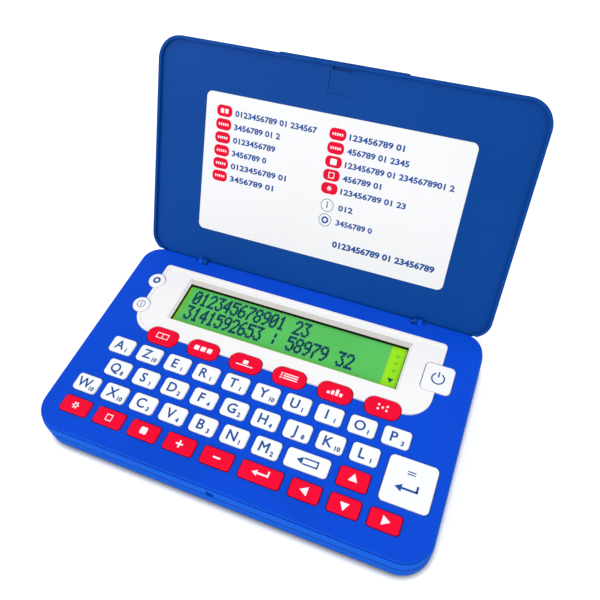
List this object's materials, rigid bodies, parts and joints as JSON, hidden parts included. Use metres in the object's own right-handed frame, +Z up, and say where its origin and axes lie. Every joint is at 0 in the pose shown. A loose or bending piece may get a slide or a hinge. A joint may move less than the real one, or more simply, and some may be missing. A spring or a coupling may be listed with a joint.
{
  "type": "electronic dictionary",
  "caption": "Clamshell pocket electronic dictionary: hinged lid with a reference card, two-line screen, letter keyboard and coloured function keys.",
  "frame": {"origin": "middle of the footprint box of the open dictionary, on the surface that the rubber feet stand on", "axes": "+X to the right along the hinge and the key rows, +Y from the front edge to the hinge, +Z up out of the keyboard"},
  "size_m": [0.1412, 0.1278, 0.0869],
  "materials": {
    "case_blue": "satin blue moulded ABS",
    "lid_blue": "satin blue moulded ABS",
    "white_plastic": "smooth white moulded ABS",
    "key_white": "fine satin",
    "key_red": "fine satin",
    "card": "printed card, satin",
    "lcd": "reflective green liquid crystal",
    "silicone": "matte",
    "board": "solder resist",
    "cell_steel": "brushed",
    "contact_metal": "plated spring strip",
    "screw_steel": "zinc plated",
    "foot_rubber": "matte"
  },
  "bodies": {
    "base": {"bottom_case": "case_blue", "top_case": "case_blue", "screen_bezel": "white_plastic", "lcd_panel": "lcd", "keypad_membrane": "silicone", "circuit_board": "board", "coin_cells": "cell_steel", "battery_contacts": "contact_metal", "case_screws": "screw_steel", "rubber_feet": "foot_rubber"},
    "lid": {"lid": "lid_blue", "lid_card": "card"},
    "battery_door": {"battery_door": "case_blue"},
    "key_a": {"key_a": "key_white"},
    "key_z": {"key_z": "key_white"},
    "key_e": {"key_e": "key_white"},
    "key_r": {"key_r": "key_white"},
    "key_t": {"key_t": "key_white"},
    "key_y": {"key_y": "key_white"},
    "key_u": {"key_u": "key_white"},
    "key_i": {"key_i": "key_white"},
    "key_o": {"key_o": "key_white"},
    "key_p": {"key_p": "key_white"},
    "key_q": {"key_q": "key_white"},
    "key_s": {"key_s": "key_white"},
    "key_d": {"key_d": "key_white"},
    "key_f": {"key_f": "key_white"},
    "key_g": {"key_g": "key_white"},
    "key_h": {"key_h": "key_white"},
    "key_j": {"key_j": "key_white"},
    "key_k": {"key_k": "key_white"},
    "key_l": {"key_l": "key_white"},
    "key_w": {"key_w": "key_white"},
    "key_x": {"key_x": "key_white"},
    "key_c": {"key_c": "key_white"},
    "key_v": {"key_v": "key_white"},
    "key_b": {"key_b": "key_white"},
    "key_n": {"key_n": "key_white"},
    "key_m": {"key_m": "key_white"},
    "key_book": {"key_book": "key_red"},
    "key_form": {"key_form": "key_red"},
    "key_place": {"key_place": "key_red"},
    "key_list": {"key_list": "key_red"},
    "key_score": {"key_score": "key_red"},
    "key_games": {"key_games": "key_red"},
    "key_star": {"key_star": "key_red"},
    "key_joker": {"key_joker": "key_red"},
    "key_square": {"key_square": "key_red"},
    "key_bonus": {"key_bonus": "key_red"},
    "key_deduct": {"key_deduct": "key_red"},
    "key_left": {"key_left": "key_red"},
    "key_down": {"key_down": "key_red"},
    "key_right": {"key_right": "key_red"},
    "key_up_arrow": {"key_up_arrow": "key_red"},
    "key_back": {"key_back": "key_red"},
    "key_erase": {"key_erase": "key_white"},
    "key_enter": {"key_enter": "key_white"},
    "key_power": {"key_power": "key_white"},
    "key_settings": {"key_settings": "key_white"},
    "key_help": {"key_help": "key_white"}
  },
  "joints": [
    {"name": "lid_hinge", "type": "hinge", "parent": "base", "child": "lid", "pos_m": [0, 0.02049, 0.01433], "axis": [1, 0, 0], "range_deg": [0, 119.4]},
    {"name": "battery_door_slide", "type": "slide", "parent": "base", "child": "battery_door", "axis": [0, 1, 0], "range_m": [0, 0.03]},
    {"name": "key_a_press", "type": "slide", "parent": "base", "child": "key_a", "axis": [0, 0, -1], "range_m": [0, 0.0005], "stiffness_N_per_m": 150, "springref_m": -0.0004},
    {"name": "key_z_press", "type": "slide", "parent": "base", "child": "key_z", "axis": [0, 0, -1], "range_m": [0, 0.0005], "stiffness_N_per_m": 150, "springref_m": -0.0004},
    {"name": "key_e_press", "type": "slide", "parent": "base", "child": "key_e", "axis": [0, 0, -1], "range_m": [0, 0.0005], "stiffness_N_per_m": 150, "springref_m": -0.0004},
    {"name": "key_r_press", "type": "slide", "parent": "base", "child": "key_r", "axis": [0, 0, -1], "range_m": [0, 0.0005], "stiffness_N_per_m": 150, "springref_m": -0.0004},
    {"name": "key_t_press", "type": "slide", "parent": "base", "child": "key_t", "axis": [0, 0, -1], "range_m": [0, 0.0005], "stiffness_N_per_m": 150, "springref_m": -0.0004},
    {"name": "key_y_press", "type": "slide", "parent": "base", "child": "key_y", "axis": [0, 0, -1], "range_m": [0, 0.0005], "stiffness_N_per_m": 150, "springref_m": -0.0004},
    {"name": "key_u_press", "type": "slide", "parent": "base", "child": "key_u", "axis": [0, 0, -1], "range_m": [0, 0.0005], "stiffness_N_per_m": 150, "springref_m": -0.0004},
    {"name": "key_i_press", "type": "slide", "parent": "base", "child": "key_i", "axis": [0, 0, -1], "range_m": [0, 0.0005], "stiffness_N_per_m": 150, "springref_m": -0.0004},
    {"name": "key_o_press", "type": "slide", "parent": "base", "child": "key_o", "axis": [0, 0, -1], "range_m": [0, 0.0005], "stiffness_N_per_m": 150, "springref_m": -0.0004},
    {"name": "key_p_press", "type": "slide", "parent": "base", "child": "key_p", "axis": [0, 0, -1], "range_m": [0, 0.0005], "stiffness_N_per_m": 150, "springref_m": -0.0004},
    {"name": "key_q_press", "type": "slide", "parent": "base", "child": "key_q", "axis": [0, 0, -1], "range_m": [0, 0.0005], "stiffness_N_per_m": 150, "springref_m": -0.0004},
    {"name": "key_s_press", "type": "slide", "parent": "base", "child": "key_s", "axis": [0, 0, -1], "range_m": [0, 0.0005], "stiffness_N_per_m": 150, "springref_m": -0.0004},
    {"name": "key_d_press", "type": "slide", "parent": "base", "child": "key_d", "axis": [0, 0, -1], "range_m": [0, 0.0005], "stiffness_N_per_m": 150, "springref_m": -0.0004},
    {"name": "key_f_press", "type": "slide", "parent": "base", "child": "key_f", "axis": [0, 0, -1], "range_m": [0, 0.0005], "stiffness_N_per_m": 150, "springref_m": -0.0004},
    {"name": "key_g_press", "type": "slide", "parent": "base", "child": "key_g", "axis": [0, 0, -1], "range_m": [0, 0.0005], "stiffness_N_per_m": 150, "springref_m": -0.0004},
    {"name": "key_h_press", "type": "slide", "parent": "base", "child": "key_h", "axis": [0, 0, -1], "range_m": [0, 0.0005], "stiffness_N_per_m": 150, "springref_m": -0.0004},
    {"name": "key_j_press", "type": "slide", "parent": "base", "child": "key_j", "axis": [0, 0, -1], "range_m": [0, 0.0005], "stiffness_N_per_m": 150, "springref_m": -0.0004},
    {"name": "key_k_press", "type": "slide", "parent": "base", "child": "key_k", "axis": [0, 0, -1], "range_m": [0, 0.0005], "stiffness_N_per_m": 150, "springref_m": -0.0004},
    {"name": "key_l_press", "type": "slide", "parent": "base", "child": "key_l", "axis": [0, 0, -1], "range_m": [0, 0.0005], "stiffness_N_per_m": 150, "springref_m": -0.0004},
    {"name": "key_w_press", "type": "slide", "parent": "base", "child": "key_w", "axis": [0, 0, -1], "range_m": [0, 0.0005], "stiffness_N_per_m": 150, "springref_m": -0.0004},
    {"name": "key_x_press", "type": "slide", "parent": "base", "child": "key_x", "axis": [0, 0, -1], "range_m": [0, 0.0005], "stiffness_N_per_m": 150, "springref_m": -0.0004},
    {"name": "key_c_press", "type": "slide", "parent": "base", "child": "key_c", "axis": [0, 0, -1], "range_m": [0, 0.0005], "stiffness_N_per_m": 150, "springref_m": -0.0004},
    {"name": "key_v_press", "type": "slide", "parent": "base", "child": "key_v", "axis": [0, 0, -1], "range_m": [0, 0.0005], "stiffness_N_per_m": 150, "springref_m": -0.0004},
    {"name": "key_b_press", "type": "slide", "parent": "base", "child": "key_b", "axis": [0, 0, -1], "range_m": [0, 0.0005], "stiffness_N_per_m": 150, "springref_m": -0.0004},
    {"name": "key_n_press", "type": "slide", "parent": "base", "child": "key_n", "axis": [0, 0, -1], "range_m": [0, 0.0005], "stiffness_N_per_m": 150, "springref_m": -0.0004},
    {"name": "key_m_press", "type": "slide", "parent": "base", "child": "key_m", "axis": [0, 0, -1], "range_m": [0, 0.0005], "stiffness_N_per_m": 150, "springref_m": -0.0004},
    {"name": "key_book_press", "type": "slide", "parent": "base", "child": "key_book", "axis": [0, 0, -1], "range_m": [0, 0.0005], "stiffness_N_per_m": 150, "springref_m": -0.0004},
    {"name": "key_form_press", "type": "slide", "parent": "base", "child": "key_form", "axis": [0, 0, -1], "range_m": [0, 0.0005], "stiffness_N_per_m": 150, "springref_m": -0.0004},
    {"name": "key_place_press", "type": "slide", "parent": "base", "child": "key_place", "axis": [0, 0, -1], "range_m": [0, 0.0005], "stiffness_N_per_m": 150, "springref_m": -0.0004},
    {"name": "key_list_press", "type": "slide", "parent": "base", "child": "key_list", "axis": [0, 0, -1], "range_m": [0, 0.0005], "stiffness_N_per_m": 150, "springref_m": -0.0004},
    {"name": "key_score_press", "type": "slide", "parent": "base", "child": "key_score", "axis": [0, 0, -1], "range_m": [0, 0.0005], "stiffness_N_per_m": 150, "springref_m": -0.0004},
    {"name": "key_games_press", "type": "slide", "parent": "base", "child": "key_games", "axis": [0, 0, -1], "range_m": [0, 0.0005], "stiffness_N_per_m": 150, "springref_m": -0.0004},
    {"name": "key_star_press", "type": "slide", "parent": "base", "child": "key_star", "axis": [0, 0, -1], "range_m": [0, 0.0005], "stiffness_N_per_m": 150, "springref_m": -0.0004},
    {"name": "key_joker_press", "type": "slide", "parent": "base", "child": "key_joker", "axis": [0, 0, -1], "range_m": [0, 0.0005], "stiffness_N_per_m": 150, "springref_m": -0.0004},
    {"name": "key_square_press", "type": "slide", "parent": "base", "child": "key_square", "axis": [0, 0, -1], "range_m": [0, 0.0005], "stiffness_N_per_m": 150, "springref_m": -0.0004},
    {"name": "key_bonus_press", "type": "slide", "parent": "base", "child": "key_bonus", "axis": [0, 0, -1], "range_m": [0, 0.0005], "stiffness_N_per_m": 150, "springref_m": -0.0004},
    {"name": "key_deduct_press", "type": "slide", "parent": "base", "child": "key_deduct", "axis": [0, 0, -1], "range_m": [0, 0.0005], "stiffness_N_per_m": 150, "springref_m": -0.0004},
    {"name": "key_left_press", "type": "slide", "parent": "base", "child": "key_left", "axis": [0, 0, -1], "range_m": [0, 0.0005], "stiffness_N_per_m": 150, "springref_m": -0.0004},
    {"name": "key_down_press", "type": "slide", "parent": "base", "child": "key_down", "axis": [0, 0, -1], "range_m": [0, 0.0005], "stiffness_N_per_m": 150, "springref_m": -0.0004},
    {"name": "key_right_press", "type": "slide", "parent": "base", "child": "key_right", "axis": [0, 0, -1], "range_m": [0, 0.0005], "stiffness_N_per_m": 150, "springref_m": -0.0004},
    {"name": "key_up_arrow_press", "type": "slide", "parent": "base", "child": "key_up_arrow", "axis": [0, 0, -1], "range_m": [0, 0.0005], "stiffness_N_per_m": 150, "springref_m": -0.0004},
    {"name": "key_back_press", "type": "slide", "parent": "base", "child": "key_back", "axis": [0, 0, -1], "range_m": [0, 0.0005], "stiffness_N_per_m": 150, "springref_m": -0.0004},
    {"name": "key_erase_press", "type": "slide", "parent": "base", "child": "key_erase", "axis": [0, 0, -1], "range_m": [0, 0.0005], "stiffness_N_per_m": 150, "springref_m": -0.0004},
    {"name": "key_enter_press", "type": "slide", "parent": "base", "child": "key_enter", "axis": [0, 0, -1], "range_m": [0, 0.0005], "stiffness_N_per_m": 150, "springref_m": -0.0004},
    {"name": "key_power_press", "type": "slide", "parent": "base", "child": "key_power", "axis": [0, 0, -1], "range_m": [0, 0.0005], "stiffness_N_per_m": 150, "springref_m": -0.0004},
    {"name": "key_settings_press", "type": "slide", "parent": "base", "child": "key_settings", "axis": [0, 0, -1], "range_m": [0, 0.0005], "stiffness_N_per_m": 150, "springref_m": -0.0004},
    {"name": "key_help_press", "type": "slide", "parent": "base", "child": "key_help", "axis": [0, 0, -1], "range_m": [0, 0.0005], "stiffness_N_per_m": 150, "springref_m": -0.0004}
  ]
}
